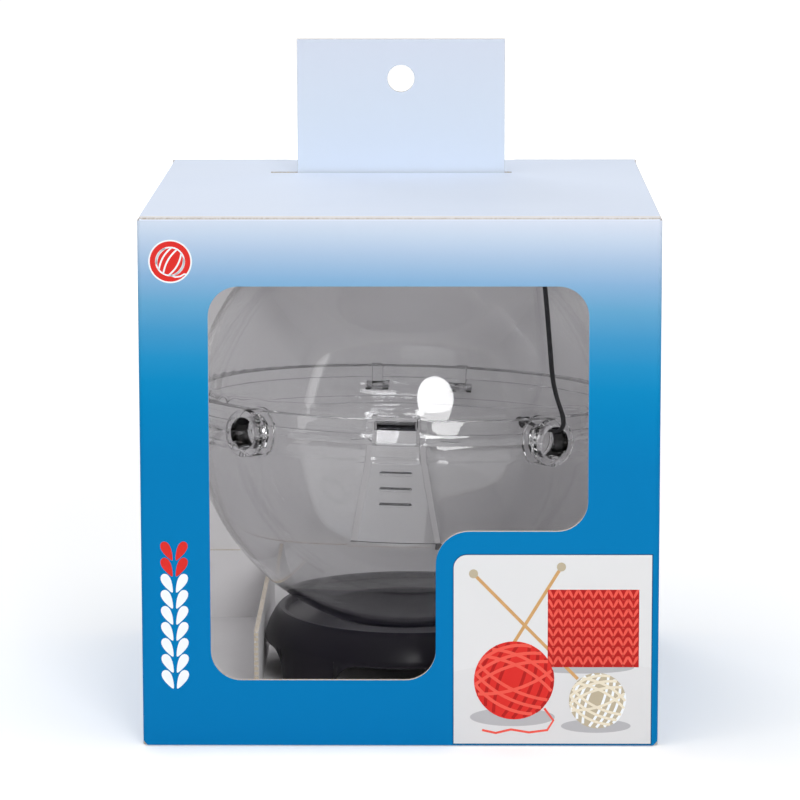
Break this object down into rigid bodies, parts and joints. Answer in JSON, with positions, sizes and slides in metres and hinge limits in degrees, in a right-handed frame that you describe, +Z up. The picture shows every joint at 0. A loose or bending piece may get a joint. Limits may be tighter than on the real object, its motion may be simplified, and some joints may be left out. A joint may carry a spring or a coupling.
{
  "type": "yarn dispenser box",
  "caption": "Hang-tagged window carton with a clear hinged yarn globe that rests on a black arched stand, with feed holes and a front latch.",
  "frame": {"origin": "centre of the carton's bottom face", "axes": "+Z up, the window looks along -Y, +X to the right of someone facing the window"},
  "size_m": [0.17, 0.17, 0.2235],
  "materials": {
    "carton_print": "satin printed",
    "carton_top": "satin printed",
    "carton_plain": "plain",
    "clear_plastic": "clear polished",
    "stand_black": "satin",
    "strap_black": "woven"
  },
  "bodies": {
    "carton": {"front_panel": "carton_print", "back_panel": "carton_print", "left_panel": "carton_print", "right_panel": "carton_print", "seam_flap": "carton_plain", "tag_carrier": "carton_top", "bottom_flap_front": "carton_print", "bottom_flap_back": "carton_print", "bottom_flap_left": "carton_plain", "bottom_flap_right": "carton_plain", "base_cradle": "carton_plain", "base_stand": "stand_black", "lower_bowl": "clear_plastic", "hinge_pins": "clear_plastic"},
    "lid": {"lid_panel": "carton_top"},
    "tuck": {"tuck_tongues": "carton_top"},
    "tag": {"hang_tag": "carton_top"},
    "dust_left": {"dust_flap_left": "carton_plain"},
    "dust_right": {"dust_flap_right": "carton_plain"},
    "dome": {"upper_dome": "clear_plastic", "strap_run": "strap_black", "strap_coil": "strap_black", "strap_inner_knot": "strap_black", "strap_end_knot": "strap_black"},
    "latch": {"latch_tab": "clear_plastic"}
  },
  "joints": [
    {"name": "lid_hinge", "type": "hinge", "parent": "carton", "child": "lid", "pos_m": [0, -0.085, 0.1745], "axis": [1, 0, 0], "range_deg": [0, 110]},
    {"name": "tuck_fold", "type": "hinge", "parent": "lid", "child": "tuck", "pos_m": [0, 0.0818, 0.1745], "axis": [1, 0, 0], "range_deg": [0, 44.5]},
    {"name": "tag_fold", "type": "hinge", "parent": "carton", "child": "tag", "pos_m": [0, 0.04325, 0.173], "axis": [1, 0, 0], "range_deg": [0, 55.5]},
    {"name": "dust_left_fold", "type": "hinge", "parent": "carton", "child": "dust_left", "pos_m": [-0.085, 0, 0.173], "axis": [0, -1, 0], "range_deg": [0, 110.5]},
    {"name": "dust_right_fold", "type": "hinge", "parent": "carton", "child": "dust_right", "pos_m": [0.085, 0, 0.173], "axis": [0, 1, 0], "range_deg": [0, 110.5]},
    {"name": "dome_hinge", "type": "hinge", "parent": "carton", "child": "dome", "pos_m": [0.00542, 0.08005, 0.0927], "axis": [-0.9988, 0.0436, 0.0227], "range_deg": [0, 1.3]},
    {"name": "latch_press", "type": "hinge", "parent": "carton", "child": "latch", "pos_m": [-0.00164, -0.06675, 0.06444], "axis": [-0.9988, 0.0436, 0.0227], "range_deg": [0, 5.25]}
  ],
  "couplings": [
    {"joint": "tuck_fold", "follows": "lid_hinge", "ratio": 0.4},
    {"joint": "tag_fold", "follows": "lid_hinge", "ratio": 0.5},
    {"joint": "dust_left_fold", "follows": "lid_hinge", "ratio": 1},
    {"joint": "dust_right_fold", "follows": "lid_hinge", "ratio": 1},
    {"joint": "latch_press", "follows": "dome_hinge", "ratio": 4}
  ]
}
